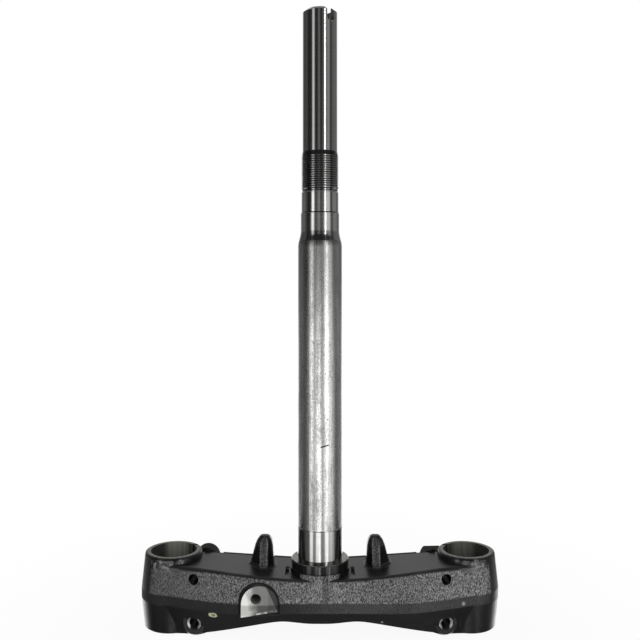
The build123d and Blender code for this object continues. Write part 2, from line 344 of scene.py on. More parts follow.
@dataclass(frozen=True)
class BlackForging:
    """Black paint over a forged skin, with the faces that were machined bare after painting.

    A pair that is handed to step is a soft edge: where the mask is 0, then where it is 1.
    """

    # Colours
    black: tuple = (0.007, 0.007, 0.0075, 1.0)
    under: tuple = grey(0.008)
    dusty: tuple = (0.020, 0.020, 0.0195, 1.0)
    knob: tuple = grey(0.36)
    bare_light: tuple = (0.36, 0.36, 0.335, 1.0)
    bare_dark: tuple = (0.17, 0.17, 0.155, 1.0)
    milled: tuple = (0.19, 0.19, 0.185, 1.0)
    bright: tuple = (0.92, 0.92, 0.895, 1.0)
    bored: tuple = (0.36, 0.36, 0.32, 1.0)
    bored_dark: tuple = (0.24, 0.24, 0.21, 1.0)
    bore_painted_shade: tuple = (0.06, 0.06, 0.055, 1.0)
    cream: tuple = (0.66, 0.64, 0.46, 1.0)
    olive: tuple = (0.22, 0.24, 0.12, 1.0)
    primer: tuple = (0.30, 0.30, 0.29, 1.0)
    # Machined faces, with painted highlights on the countersinks' sides
    fork: tuple = mm(100.5, 14.4)
    bore_edge: tuple = mm(15.75, 15.6)
    rim_level: tuple = mm(-0.3, -0.1)
    rim_edge: tuple = mm(18.1, 17.9)
    foot_level: tuple = mm(-48.7, -48.9)
    collar_level: tuple = mm(-0.45, -0.2)
    collar_edge: tuple = mm(19.6, 19.4)
    lug_depth: tuple = mm(-22.9, -23.0)
    lug_facing: tuple = (-0.9, -0.97)
    lug_crown: tuple = mm(-34.7, -11.5)
    lug_lean: float = 0.469
    lug_side: tuple = mm(0.3, -0.1)
    hole: tuple = mm(-41.2, -19.2)
    hole_edge: tuple = mm(3.55, 3.45)
    hole_depth: tuple = mm(0.0, -1.0)
    bolt: tuple = mm(82.8, -40.2)
    sink_edge: tuple = mm(4.6, 4.45)
    sink_depth: tuple = mm(-6.0, -7.0)
    sink_highlight_sides: tuple = mm(2.0025, 3.115)
    # Forged skin, with painted light and shade on its knobs and a painted glint on the clamps' necks
    ear_depth: tuple = mm(22.0, 23.0)
    front_facing: tuple = (-0.72, -0.86)
    front_slope: tuple = (0.7, 0.35)
    above_land: tuple = mm(-23.8, -22.6)
    above_foot: tuple = mm(-30.1, -29.1)
    below_land: tuple = mm(-29.3, -29.9)
    drawn_facing: tuple = (-0.08, -0.3)
    clamp_edge: tuple = mm(24.0, 23.0)
    crisp_top: tuple = mm(-5.6, -7.2)
    soft_top: tuple = mm(-3.4, -10.4)
    clear_of_lug: tuple = mm(-22.8, -22.4)
    pebbles: Noise = Noise((1950.0, 1950.0, 720.0), 2.0, 0.65)
    pebble_edge: tuple = (0.42, 0.59)
    lit_least: float = 0.40
    lit_left: tuple = mm(-112.0, -40.0)
    lit_left_share: float = 0.5
    lit_right: tuple = mm(55.0, 90.0)
    lit_right_share: float = 0.25
    lit_boss: tuple = mm(36.0, 14.0)
    lit_boss_share: float = 0.25
    boss_light_x: float = -1.9 * MM
    boss_light: tuple = mm(3.6, 2.2)
    boss_light_share: float = 0.5
    boss_shade_x: float = 3.4 * MM
    boss_shade: tuple = mm(2.6, 1.4)
    boss_shade_share: float = 0.65
    land_least: float = 0.03
    land_lit: tuple = mm(-30.0, 20.0)
    land_share: float = 0.08
    glint_x: float = 106.0 * MM
    glint_edge: tuple = mm(9.0, 5.0)
    glint_level: tuple = mm(-1.0, -3.0)
    # Fins and collar, with painted highlights on the fins' front ridges
    fin_x: float = 39.0 * MM
    fin_sides: tuple = mm(10.5, 10.0)
    fin_level: tuple = mm(-6.0, -5.0)
    ridge_x: float = 37.7 * MM
    ridge_sides: tuple = mm(3.2, 2.6)
    ridge_facing: tuple = (-0.5, -0.75)
    ridge_corner: float = 2.1 * MM
    ridge_corner_edge: tuple = mm(0.8, 0.3)
    gloss_edge: tuple = mm(20.1, 19.9)
    gloss_level: tuple = mm(-9.5, -9.0)
    # Dust and wear on the paint, with painted shade near the clamps and fins and painted highlights on the
    # knobs, necks and ridges
    clouds: Noise = Noise((60.0, 60.0, 60.0), 4.0, 0.6)
    dust_facing: tuple = (0.2, 0.95)
    dust_edge: tuple = (0.3, 0.75)
    dust_least: float = 0.25
    plate_off_forks: tuple = mm(24.0, 42.0)
    plate_off_fins: tuple = mm(8.0, 18.0)
    blotches: Noise = Noise((170.0, 170.0, 120.0), 3.0, 0.6)
    blotch_edge: tuple = (0.5, 0.72)
    blotch_side: tuple = mm(30.0, 60.0)
    blotch_share: float = 0.5
    knob_least: float = 0.05
    knob_share: float = 0.82
    mottles: Noise = Noise((330.0, 330.0, 330.0))
    mottle_edge: tuple = (0.47, 0.6)
    mottle_share: float = 0.6
    ridge_highlight_share: float = 0.2
    ridge_edge_highlight_share: float = 0.3
    # Bare metal, with painted light and shade on the bores and painted highlights on the lug
    marks: Noise = Noise((500.0, 500.0, 500.0), 4.0, 0.65)
    mark_edge: tuple = (0.3, 0.7)
    streaks: Noise = Noise((420.0, 420.0, 12.0), 3.0, 0.6)
    streak_edge: tuple = (0.35, 0.65)
    bore_lit_facing: tuple = (-0.78, -0.99)
    bore_shaded_right: tuple = mm(0.0, 50.0)
    bore_right_shade_loss: float = 0.4
    smears: Noise = Noise((210.0, 210.0, 210.0), 4.0, 0.6)
    smear_share: float = 0.9
    highlight_corner: tuple = mm(-44.0, -20.0)
    highlight_reach: tuple = mm(9.0, 40.0)
    wear_and_highlight_edge: tuple = (-0.45, 0.6)
    burr_corner: tuple = mm(-50.7, -30.8)
    burr_slope: float = 0.162
    burr_edge: tuple = mm(1.6, 0.6)
    burr_smear: tuple = (0.42, 0.6)
    shine_side: tuple = mm(-32.9, -33.3)
    shine_half: float = 0.5
    shine_least: float = 0.08
    # Dab of marking paint and chips
    dab: tuple = mm(-69.4, -32.0)
    dab_size: tuple = mm(3.0, 1.9)
    dab_edge: tuple = (1.05, 0.85)
    dab_middle: tuple = (0.6, 0.35)
    dab_ragged: float = 0.7
    rags: Noise = Noise((700.0, 700.0, 700.0))
    fleck_facing: tuple = (-0.2, -0.4)
    chips: tuple = (mm(94.4, -27.4, 1.3), mm(40.2, -36.2, 0.9))
    chip_edge: tuple = (1.0, 0.7)
    chip_ragged: float = 0.8
    # Relief
    skin_relief: float = 0.22 * MM
    ridge_relief: float = 0.8
    neck_relief: float = 0.32 * MM
    paint_noise: Noise = Noise((1500.0, 1500.0, 1500.0))
    paint_relief: float = 0.025 * MM
    tool_noise: Noise = Noise((3000.0, 3000.0, 600.0), 1.0, 0.5)
    tool_relief: float = 0.02 * MM
    # Roughness, and what each form adds to it or takes from it
    rough: float = 0.30
    rough_cloud: float = 0.10
    rough_gloss: float = 0.28
    rough_neck: float = 0.2
    rough_fin: float = 0.16
    rough_ear: float = 0.45
    rough_land: float = 0.35
    rough_machined: float = 0.12
    rough_dab: float = 0.3
    bore_dull: float = 0.6

    def bare(self, at: YokeSpot) -> BareFaces:
        """Find where the paint is missing.

        Args:
            at: The place on the yoke.

        Returns:
            The machined faces.
        """
        bore = at.off_fork.step(*self.bore_edge)
        rim_top = at.z.step(*self.rim_level) * at.off_fork.step(*self.rim_edge)
        rim_low = at.z.step(*self.foot_level)
        collar = at.z.step(*self.collar_level) * at.off_stem.step(*self.collar_edge)
        past_lug = at.x - self.lug_crown[0] + (at.z - self.lug_crown[1]) * self.lug_lean
        lug = at.y.step(*self.lug_depth) * at.facing_y.step(*self.lug_facing)
        lug = lug * past_lug.step(*self.lug_side)
        off_hole = (at.x - self.hole[0]).hypot(at.z - self.hole[1])
        drilled = off_hole.step(*self.hole_edge) * at.y.step(*self.hole_depth)
        beside = abs(at.x) - self.bolt[0]
        sink = beside.hypot(at.z - self.bolt[1]).step(*self.sink_edge) * at.y.step(*self.sink_depth)
        # Painted highlight: only the sides of each countersink are bright bare metal, as crescents where
        # light falls.
        sink = sink * abs(beside).step(*self.sink_highlight_sides)
        machined = bore.most(rim_top).most(rim_low).most(collar).most(lug).most(sink).most(drilled)
        return BareFaces(bore, lug, sink, drilled, machined, 1.0 - machined)

    def forms(self, at: YokeSpot, bare: BareFaces) -> PaintedForms:
        """Find the painted forms: knobs on the front walls above the land, fewer on it and none below it,
        in amounts that paint light and shade on them.

        Args:
            at: The place on the yoke.
            bare: The machined faces.

        Returns:
            The painted forms.
        """
        ear = at.y.step(*self.ear_depth) * bare.painted
        front = at.facing_y.step(*self.front_facing) * at.facing_z.step(*self.front_slope)
        front = front * bare.painted * (1.0 - ear)
        above = at.z.step(*self.above_land)
        on_land = at.z.step(*self.above_foot) * (1.0 - above)
        low = at.z.step(*self.below_land)
        clamp = at.off_fork.step(*self.clamp_edge)
        under_edge = at.z.step(*self.crisp_top) * (1.0 - clamp) + at.z.step(*self.soft_top) * clamp

        # Painted light: the knobs' colour changes brightness along the front walls and the land, as light
        # fell on them, with a painted highlight and a painted shade down the boss's front.
        lit = self.lit_least + at.x.step(*self.lit_left) * self.lit_left_share
        lit = lit + at.x.step(*self.lit_right) * self.lit_right_share
        lit = lit + abs(at.x).step(*self.lit_boss) * self.lit_boss_share
        lit = lit + abs(at.x - self.boss_light_x).step(*self.boss_light) * self.boss_light_share
        lit = lit - abs(at.x - self.boss_shade_x).step(*self.boss_shade) * self.boss_shade_share
        land_lit = self.land_least + at.x.step(*self.land_lit) * self.land_share
        amount = front * at.y.step(*self.clear_of_lug) * (above * under_edge * lit + on_land * land_lit)

        neck = front * (1.0 - under_edge) * clamp
        glint = neck * abs(abs(at.x) - self.glint_x).step(*self.glint_edge) * at.z.step(*self.glint_level)
        fin = abs(abs(at.x) - self.fin_x).step(*self.fin_sides) * at.z.step(*self.fin_level)
        off_ridge = abs(abs(at.x) - self.ridge_x)
        ridge = fin * off_ridge.step(*self.ridge_sides) * at.facing_y.step(*self.ridge_facing)
        return PaintedForms(
            ear=ear,
            on_land=on_land,
            low=low,
            drawn_in=low * at.facing_z.step(*self.drawn_facing),
            amount=amount,
            pebble=at.board.grain(at.vector, self.pebbles).step(*self.pebble_edge),
            neck=neck,
            glint=glint,
            fin=fin,
            ridge=ridge,
            ridge_edge_highlight=ridge * abs(off_ridge - self.ridge_corner).step(*self.ridge_corner_edge),
            gloss=at.off_stem.step(*self.gloss_edge) * at.z.step(*self.gloss_level),
        )

    def paint(self, at: YokeSpot, forms: PaintedForms, cloud: Wire, mottle: Wire) -> bpy.types.NodeSocket:
        """Colour the paint, with dust on what faces up and worn knobs, and painted light: brighter knobs
        where light fell, a painted glint on the necks, painted highlights on the fins and painted shade
        where the dust thins near the clamps and fins.

        Args:
            at: The place on the yoke.
            forms: The painted forms.
            cloud: Wide soft noise.
            mottle: The unevenness of the clamps' necks.

        Returns:
            The paint's colour.
        """
        board = at.board
        dust = at.facing_z.step(*self.dust_facing) * cloud.step(*self.dust_edge)
        dust = dust * (1.0 - forms.fin) * (1.0 - forms.ear)
        # Painted shade: the dust thins near the clamps and the fins, which darkens the plate there.
        plate_out_of_shade = abs(abs(at.x) - self.fin_x).step(*self.plate_off_fins)
        plate_out_of_shade = at.off_fork.step(*self.plate_off_forks) * plate_out_of_shade
        paint = board.blend(dust * (self.dust_least + plate_out_of_shade), self.black, self.dusty)
        paint = board.blend(forms.drawn_in, paint, self.under)
        blotch = board.grain(at.vector, self.blotches).step(*self.blotch_edge)
        blotch = forms.low * blotch * at.x.step(*self.blotch_side) * self.blotch_share
        paint = board.blend(blotch, paint, self.dusty)
        # Worn knobs: the grey is partly wear and partly painted highlight, in the painted-light amounts of
        # the forms.
        worn = forms.amount * (self.knob_least + forms.pebble * self.knob_share)
        paint = board.blend(worn, paint, self.knob)
        # Painted glint: the clamps' necks are coloured lighter in mottled spots where highlights fall.
        glint = forms.glint * mottle.step(*self.mottle_edge) * self.mottle_share
        paint = board.blend(glint, paint, self.knob)
        # Painted highlights: grey knobs down each fin's front ridge and a brighter line along its corners.
        line = forms.ridge_edge_highlight * (self.knob_least + forms.pebble * self.ridge_edge_highlight_share)
        return board.blend(forms.ridge * forms.pebble * self.ridge_highlight_share + line, paint, self.knob)

    def metal(self, at: YokeSpot, bare: BareFaces) -> bpy.types.NodeSocket:
        """Colour the machined faces, with painted light and shade on the bores and painted highlights on
        the lug and the countersinks.

        Args:
            at: The place on the yoke.
            bare: The machined faces.

        Returns:
            The metal's colour.
        """
        board = at.board
        marks = board.grain(at.vector, self.marks).step(*self.mark_edge)
        metal = board.blend(marks, self.bare_dark, self.bare_light)
        streaks = board.grain(at.vector, self.streaks).step(*self.streak_edge)
        # Painted light and shade: the bore is coloured lighter where it faces the front, dark at its sides
        # and dimmer in the right clamp.
        bored = board.blend(streaks, self.bored_dark, self.bored)
        bore_unshaded = 1.0 - at.x.step(*self.bore_shaded_right) * self.bore_right_shade_loss
        seen = at.facing_y.step(*self.bore_lit_facing) * bore_unshaded
        metal = board.blend(bare.bore, metal, board.blend(seen, self.bore_painted_shade, bored))

        # Painted highlight: the lug's milled face is coloured bright at its lower left, along its lower
        # edge and left of the step, and dull past the step
        smear = board.grain(at.vector, self.smears)
        leftward = (self.highlight_corner[0] - at.x) * (1.0 / self.highlight_reach[0])
        worn = leftward - (at.z - self.highlight_corner[1]) * (1.0 / self.highlight_reach[1])
        worn = (worn + (smear - 0.5) * self.smear_share).step(*self.wear_and_highlight_edge)
        burr_highlight = at.z - self.burr_corner[1] - (at.x - self.burr_corner[0]) * self.burr_slope
        worn = worn.most(burr_highlight.step(*self.burr_edge) * smear.step(*self.burr_smear))
        shine = bare.lug * at.x.step(*self.shine_side)
        worn = worn * (self.shine_half + shine * self.shine_half) + shine * self.shine_least
        metal = board.blend(bare.lug, metal, board.blend(worn, self.milled, self.bright))
        return board.blend(bare.sink, metal, self.bright)

    def flecks(self, at: YokeSpot, colour: bpy.types.NodeSocket) -> tuple[bpy.types.NodeSocket, Wire]:
        """Add the dab of marking paint and the chips down to the primer.

        Args:
            at: The place on the yoke.
            colour: The colour under them.

        Returns:
            The new colour, and where the dab is.
        """
        board = at.board
        ragged = board.grain(at.vector, self.rags) - 0.5
        in_front = at.facing_y.step(*self.fleck_facing)
        across = (at.x - self.dab[0]) * (1.0 / self.dab_size[0])
        up = (at.z - self.dab[1]) * (1.0 / self.dab_size[1])
        off_dab = across.hypot(up) + ragged * self.dab_ragged
        dab = off_dab.step(*self.dab_edge) * in_front
        colour = board.blend(dab, colour, self.cream)
        colour = board.blend(off_dab.step(*self.dab_middle) * in_front, colour, self.olive)
        for chip_x, chip_z, chip_r in self.chips:
            off_chip = (at.x - chip_x).hypot(at.z - chip_z) * (1.0 / chip_r) + ragged * self.chip_ragged
            colour = board.blend(off_chip.step(*self.chip_edge) * in_front, colour, self.primer)
        return colour, dab

    def relief(
        self, at: YokeSpot, bare: BareFaces, forms: PaintedForms, mottle: Wire
    ) -> bpy.types.NodeSocket:
        """Raise the skin, the mottled necks of the clamps, the paint and the tool marks.

        Args:
            at: The place on the yoke.
            bare: The machined faces.
            forms: The painted forms.
            mottle: The unevenness of the clamps' necks.

        Returns:
            The normal.
        """
        board = at.board
        knobs = forms.pebble * (forms.amount + forms.ridge * self.ridge_relief)
        normal = board.bump(knobs, self.skin_relief)
        normal = board.bump(mottle * forms.neck, self.neck_relief, normal)
        fine = board.grain(at.vector, self.paint_noise)
        normal = board.bump(fine * bare.painted * (1.0 - forms.gloss), self.paint_relief, normal)
        turning = board.grain(at.vector, self.tool_noise)
        return board.bump(turning * bare.machined, self.tool_relief, normal)

    def make(self) -> bpy.types.Material:
        """Build the finish.

        Returns:
            The material.
        """
        material, board = Board.material("black_forging")
        at = YokeSpot(board, self.fork)
        bare = self.bare(at)
        forms = self.forms(at, bare)
        cloud = board.grain(at.vector, self.clouds)
        mottle = board.grain(at.vector, self.mottles)
        paint = self.paint(at, forms, cloud, mottle)
        colour, dab = self.flecks(at, board.blend(bare.machined, paint, self.metal(at, bare)))

        rough = self.rough + cloud * self.rough_cloud - forms.gloss * self.rough_gloss
        rough = rough - forms.neck * self.rough_neck - forms.fin * self.rough_fin
        rough = rough + forms.ear * self.rough_ear
        rough = rough + forms.on_land * (1.0 - at.x.step(*self.land_lit)) * self.rough_land
        rough = rough + bare.machined * self.rough_machined + dab * self.rough_dab
        metallic = bare.machined * (1.0 - dab) * (1.0 - bare.bore * self.bore_dull) * (1.0 - bare.drilled)
        sockets = {
            "Base Color": colour,
            "Roughness": rough,
            "Metallic": metallic,
            "Specular IOR Level": 0.5,
            "Normal": self.relief(at, bare, forms, mottle),
        }
        board.end(board.node("ShaderNodeBsdfPrincipled", None, sockets))
        return material


@dataclass(frozen=True)
class TurnedSteel:
    """A drawn steel tube, rough between its ground seats and bright on them.

    A shoulder is a height and half the width over which one zone turns into the next. A pair that is handed
    to step is a soft edge: where the mask is 0, then where it is 1.
    """

    # Colours
    ground: tuple = (0.47, 0.47, 0.46, 1.0)
    ground_dark: tuple = (0.38, 0.38, 0.375, 1.0)
    threaded: tuple = (0.27, 0.27, 0.265, 1.0)
    groove: tuple = grey(0.05)
    drawn: tuple = (0.66, 0.66, 0.645, 1.0)
    drawn_dark: tuple = (0.34, 0.34, 0.33, 1.0)
    drawn_dull: tuple = (0.30, 0.30, 0.29, 1.0)
    pitted: tuple = (0.16, 0.16, 0.155, 1.0)
    scored: tuple = grey(0.03)
    # Shoulders, upwards
    seat_top: tuple = mm(20.85, 0.15)
    tube_top: tuple = mm(211.7, 0.2)
    flare_top: tuple = mm(218.7, 0.8)
    seat_up_top: tuple = mm(230.7, 0.2)
    thread_low: tuple = mm(247.0, 0.2)
    thread_top: tuple = mm(272.1, 0.2)
    # Drawn skin
    streaks: Noise = Noise((700.0, 700.0, 18.0), 3.0, 0.6)
    streak_share: float = 0.3
    patches: Noise = Noise((160.0, 160.0, 60.0), 5.0, 0.65)
    patch_share: float = 0.35
    specks: Noise = Noise((1400.0, 1400.0, 900.0))
    speck_share: float = 0.35
    wear_and_highlight_edge: tuple = (0.36, 0.58)
    dull_level: tuple = mm(140.0, 195.0)
    dull_share: float = 0.7
    pits: Noise = Noise((520.0, 520.0, 330.0), 1.0, 0.5)
    pit_edge: tuple = (0.72, 0.78)
    scratch_start: tuple = mm(0.4, 75.8)
    scratch_end: tuple = mm(5.8, 77.1)
    scratch_edge: tuple = mm(0.6, 0.3)
    scratch_fade: float = 0.4 * MM
    scratch_front: tuple = mm(0.0, -5.0)
    # Ground lands
    rings: Noise = Noise((30.0, 30.0, 9000.0), 2.0, 0.6)
    ring_edge: tuple = (0.3, 0.7)
    grooves: tuple = mm(230.7, 245.6, 246.7)
    groove_edge: tuple = mm(0.5, 0.25)
    # Roughness, and what each zone adds to it
    rough: float = 0.11
    rough_ring: float = 0.05
    rough_low_seat: float = 0.04
    rough_flare: float = 0.02
    rough_up_seat: float = 0.05
    rough_thread: float = 0.08
    rough_tube: float = 0.14
    rough_unworn: float = 0.12
    # Relief
    ridges: Noise = Noise((850.0, 850.0, 5.0))
    ridge_relief: float = 0.06 * MM
    speck_relief: float = 0.013 * MM
    ring_relief: float = 0.002 * MM

    @staticmethod
    def past(z: Wire, shoulder: tuple) -> Wire:
        """From 0 below a shoulder to 1 above it."""
        return z.step(shoulder[0] - shoulder[1], shoulder[0] + shoulder[1])

    def scratch(self, x: Wire, y: Wire, z: Wire) -> Wire:
        """Find the one long scratch on the front.

        Args:
            x: The place on the stem, X.
            y: The place on the stem, Y.
            z: The place on the stem, Z.

        Returns:
            From 0 to 1.
        """
        run = self.scratch_end[0] - self.scratch_start[0]
        climb = self.scratch_end[1] - self.scratch_start[1]
        length = math.hypot(run, climb)
        right = x - self.scratch_start[0]
        up = z - self.scratch_start[1]
        along = right * (run / length) + up * (climb / length)
        aside = abs(up * (run / length) - right * (climb / length))
        begun = along.step(-self.scratch_fade, self.scratch_fade)
        ended = along.step(length + self.scratch_fade, length - self.scratch_fade)
        return aside.step(*self.scratch_edge) * begun * y.step(*self.scratch_front) * ended

    def make(self) -> bpy.types.Material:
        """Build the finish.

        Returns:
            The material.
        """
        material, board = Board.material("turned_steel")
        place = board.place()
        x, y, z = board.split(place)

        # Zones up the stem
        past_seat = self.past(z, self.seat_top)
        past_tube = self.past(z, self.tube_top)
        past_flare = self.past(z, self.flare_top)
        low_seat = 1.0 - past_seat
        tube = past_seat * (1.0 - past_tube)
        flare = past_tube * (1.0 - past_flare)
        up_seat = past_flare * (1.0 - self.past(z, self.seat_up_top))
        thread = self.past(z, self.thread_low) * (1.0 - self.past(z, self.thread_top))

        # Drawn skin: long streaks, small dull patches and pits
        streak = board.grain(place, self.streaks)
        patch = board.grain(place, self.patches)
        speck = board.grain(place, self.specks)
        worn = streak * self.streak_share + patch * self.patch_share + speck * self.speck_share
        worn = worn.step(*self.wear_and_highlight_edge)
        drawn = board.blend(worn, self.drawn_dark, self.drawn)
        drawn = board.blend(z.step(*self.dull_level) * self.dull_share, drawn, self.drawn_dull)
        pit = board.grain(place, self.pits).step(*self.pit_edge)

        # Ground lands: fine rings round the stem, and a dark line at each shoulder
        ring = board.grain(place, self.rings)
        land = board.blend(ring.step(*self.ring_edge), self.ground_dark, self.ground)
        land = board.blend(thread, land, self.threaded)
        for level in self.grooves:
            land = board.blend(abs(z - level).step(*self.groove_edge), land, self.groove)
        colour = board.blend(tube, land, drawn)
        colour = board.blend(pit * tube, colour, self.pitted)
        colour = board.blend(self.scratch(x, y, z) * tube, colour, self.scored)

        rough = self.rough + (ring - 0.5) * self.rough_ring + low_seat * self.rough_low_seat
        rough = rough + flare * self.rough_flare + up_seat * self.rough_up_seat + thread * self.rough_thread
        rough = rough + tube * (self.rough_tube + (1.0 - worn) * self.rough_unworn)
        normal = board.bump(board.grain(place, self.ridges) * tube, self.ridge_relief)
        normal = board.bump(speck * tube, self.speck_relief, normal)
        normal = board.bump(ring * (1.0 - tube), self.ring_relief, normal)
        sockets = {"Base Color": colour, "Roughness": rough, "Metallic": 1.0, "Normal": normal}
        board.end(board.node("ShaderNodeBsdfPrincipled", None, sockets))
        return material


class Shop:
    """Modelling steps that the pieces share."""

    @staticmethod
    def clear() -> None:
        """Leave edit mode and deselect everything."""
        if bpy.context.object is not None and bpy.context.object.mode != "OBJECT":
            bpy.ops.object.mode_set(mode="OBJECT")
        bpy.ops.object.select_all(action="DESELECT")

    @staticmethod
    def pick(piece: bpy.types.Object) -> None:
        """Select one object alone and make it active.

        Args:
            piece: The object.
        """
        Shop.clear()
        piece.select_set(True)
        bpy.context.view_layer.objects.active = piece

    @staticmethod
    def settle() -> None:
        """Apply the active object's place, turn and scale."""
        bpy.ops.object.transform_apply(location=True, rotation=True, scale=True)

    @staticmethod
    def close_up() -> None:
        """Turn all normals of the mesh in edit mode outwards and leave edit mode."""
        bpy.ops.mesh.select_all(action="SELECT")
        bpy.ops.mesh.normals_make_consistent(inside=False)
        bpy.ops.object.mode_set(mode="OBJECT")

    @staticmethod
    def turn(name: str, profile: list[tuple[float, float]], sides: int) -> bpy.types.Object:
        """Turn a closed profile about Z by extruding a ring from point to point.

        Args:
            name: The piece's name.
            profile: Radius and height of each point, in metres, ending where it began.
            sides: The number of sides round the axis.

        Returns:
            The turned piece.
        """
        Shop.clear()
        first_r, first_z = profile[0]
        bpy.ops.mesh.primitive_circle_add(vertices=sides, radius=first_r, location=(0.0, 0.0, first_z))
        piece = bpy.context.object
        piece.name = name
        piece.data.name = name
        Shop.settle()
        bpy.ops.object.mode_set(mode="EDIT")
        bpy.ops.mesh.select_all(action="SELECT")
        for (r0, z0), (r1, z1) in zip(profile, profile[1:]):
            bpy.ops.mesh.extrude_edges_move(TRANSFORM_OT_translate={"value": (0.0, 0.0, z1 - z0)})
            bpy.ops.transform.resize(value=(r1 / r0, r1 / r0, 1.0), center_override=(0.0, 0.0, z1))
        bpy.ops.mesh.select_all(action="SELECT")
        bpy.ops.mesh.remove_doubles(threshold=WELD)
        Shop.close_up()
        return piece

    @staticmethod
    def cut(piece: bpy.types.Object, tool: bpy.types.Object) -> None:
        """Cut a tool body out of a piece, and remove the tool.

        Args:
            piece: The piece.
            tool: The closed tool body.
        """
        Shop.pick(piece)
        modifier = piece.modifiers.new("cut", "BOOLEAN")
        modifier.operation = "DIFFERENCE"
        modifier.solver = "EXACT"
        modifier.object = tool
        bpy.ops.object.modifier_apply(modifier=modifier.name)
        bpy.data.objects.remove(tool, do_unlink=True)


@dataclass
class SteeringStem:
    """The stem as one turned piece, with its thread cut in it."""

    sides: int = 128
    press_r: float = 15.5 * MM
    seat_low_r: float = 15.0 * MM
    seat_low_top: float = 20.6 * MM
    tube_r: float = 14.8 * MM
    tube_top: float = 207.8 * MM
    flare_top: float = 218.7 * MM
    flare_steps: int = 10
    seat_up_r: float = 13.0 * MM
    seat_up_top: float = 230.7 * MM
    pilot_r: float = 12.5 * MM
    pilot_top: float = 244.8 * MM
    relief_r: float = 12.1 * MM
    relief_top: float = 247.0 * MM
    thread_r: float = 12.5 * MM
    thread_top: float = 272.1 * MM
    thread_chamfer: float = 3.0 * MM
    thread_pitch: float = 1.5 * MM
    thread_depth: float = 0.7 * MM
    thread_over: float = 0.2 * MM
    thread_lead: float = 0.2 * MM
    thread_half_angle: float = 30.0
    thread_steps: int = 72
    post_r: float = 11.75 * MM
    top: float = 369.4 * MM
    post_chamfer: tuple = mm(2.9, 2.2)
    tube_bore_r: float = 11.2 * MM
    post_bore_r: float = 8.25 * MM
    neck: tuple = mm(194.2, 218.2)
    bottom: float = -36.0 * MM
    edge: float = 0.5 * MM
    notch_width: float = 6.1 * MM
    notch_depth: float = 10.1 * MM
    notch_turn: float = 39.4
    notch_sides: int = 32
    smooth_angle: float = 10.0

    def profile(self) -> list[tuple[float, float]]:
        """The stem's half section.

        Returns:
            Radius and height of each point, closed.
        """
        points = [
            (self.tube_bore_r, self.bottom),
            (self.press_r - self.edge, self.bottom),
            (self.press_r, self.bottom + self.edge),
            (self.press_r, 0.0),
            (self.seat_low_r, 0.0),
            (self.seat_low_r, self.seat_low_top),
            (self.tube_r, self.seat_low_top + self.edge),
            (self.tube_r, self.tube_top - self.edge),
            (self.tube_r, self.tube_top),
        ]
        for step in range(1, self.flare_steps + 1):
            part_way = step / self.flare_steps
            closing = part_way * part_way * (3.0 - 2.0 * part_way)
            height = self.tube_top + (self.flare_top - self.tube_top) * part_way
            points.append((self.tube_r + (self.seat_up_r - self.tube_r) * closing, height))
        points += [
            (self.seat_up_r, self.seat_up_top - self.edge),
            (self.pilot_r, self.seat_up_top),
            (self.pilot_r, self.pilot_top - self.edge),
            (self.relief_r, self.pilot_top),
            (self.relief_r, self.relief_top - self.edge),
            (self.thread_r, self.relief_top),
            (self.thread_r, self.thread_top - self.thread_chamfer),
            (self.post_r, self.thread_top),
            (self.post_r, self.top - self.post_chamfer[1]),
            (self.post_r - self.post_chamfer[0], self.top),
            (self.post_bore_r, self.top),
            (self.post_bore_r, self.neck[1]),
            (self.tube_bore_r, self.neck[0]),
            (self.tube_bore_r, self.bottom),
        ]
        return points

    def thread_tool(self) -> bpy.types.Object:
        """The body of the thread's groove: a triangle wound up the stem.

        Returns:
            The closed tool body.
        """
        Shop.clear()
        bpy.ops.mesh.primitive_circle_add(vertices=3, radius=1.0)
        tool = bpy.context.object
        tool.name = "thread_tool"
        half = math.tan(math.radians(self.thread_half_angle)) * (self.thread_depth + self.thread_over)
        start = self.relief_top + self.thread_lead
        apex, low, high = tool.data.vertices
        apex.co = (self.thread_r - self.thread_depth, 0.0, start)
        low.co = (self.thread_r + self.thread_over, 0.0, start - half)
        high.co = (self.thread_r + self.thread_over, 0.0, start + half)
        screw = tool.modifiers.new("wind", "SCREW")
        screw.axis = "Z"
        screw.angle = math.tau
        screw.screw_offset = self.thread_pitch
        screw.iterations = round((self.thread_top - start) / self.thread_pitch)
        screw.steps = self.thread_steps
        screw.render_steps = self.thread_steps
        screw.use_merge_vertices = False
        bpy.ops.object.modifier_apply(modifier=screw.name)
        bpy.ops.object.mode_set(mode="EDIT")
        bpy.ops.mesh.select_all(action="SELECT")
        bpy.ops.mesh.fill_holes(sides=3)
        Shop.close_up()
        return tool

    def notch_tool(self) -> bpy.types.Object:
        """The body of the key notch: a round-ended slot through one wall.

        Returns:
            The closed tool body.
        """
        Shop.clear()
        radius = self.notch_width / 2.0
        upright = (math.radians(90.0), 0.0, 0.0)
        bpy.ops.mesh.primitive_circle_add(
            vertices=self.notch_sides, radius=radius, fill_type="NGON", rotation=upright
        )
        tool = bpy.context.object
        tool.name = "notch_tool"
        Shop.settle()
        upper = 0.1 * radius
        for vertex in tool.data.vertices:
            if vertex.co.z > upper:
                vertex.co.z += self.notch_depth
        bpy.ops.object.mode_set(mode="EDIT")
        bpy.ops.mesh.select_all(action="SELECT")
        outwards = (0.0, -2.0 * self.post_r, 0.0)
        bpy.ops.mesh.extrude_region_move(TRANSFORM_OT_translate={"value": outwards})
        Shop.close_up()
        tool.rotation_euler = (0.0, 0.0, math.radians(self.notch_turn))
        tool.location = (0.0, 0.0, self.top - self.notch_depth + radius)
        Shop.settle()
        return tool

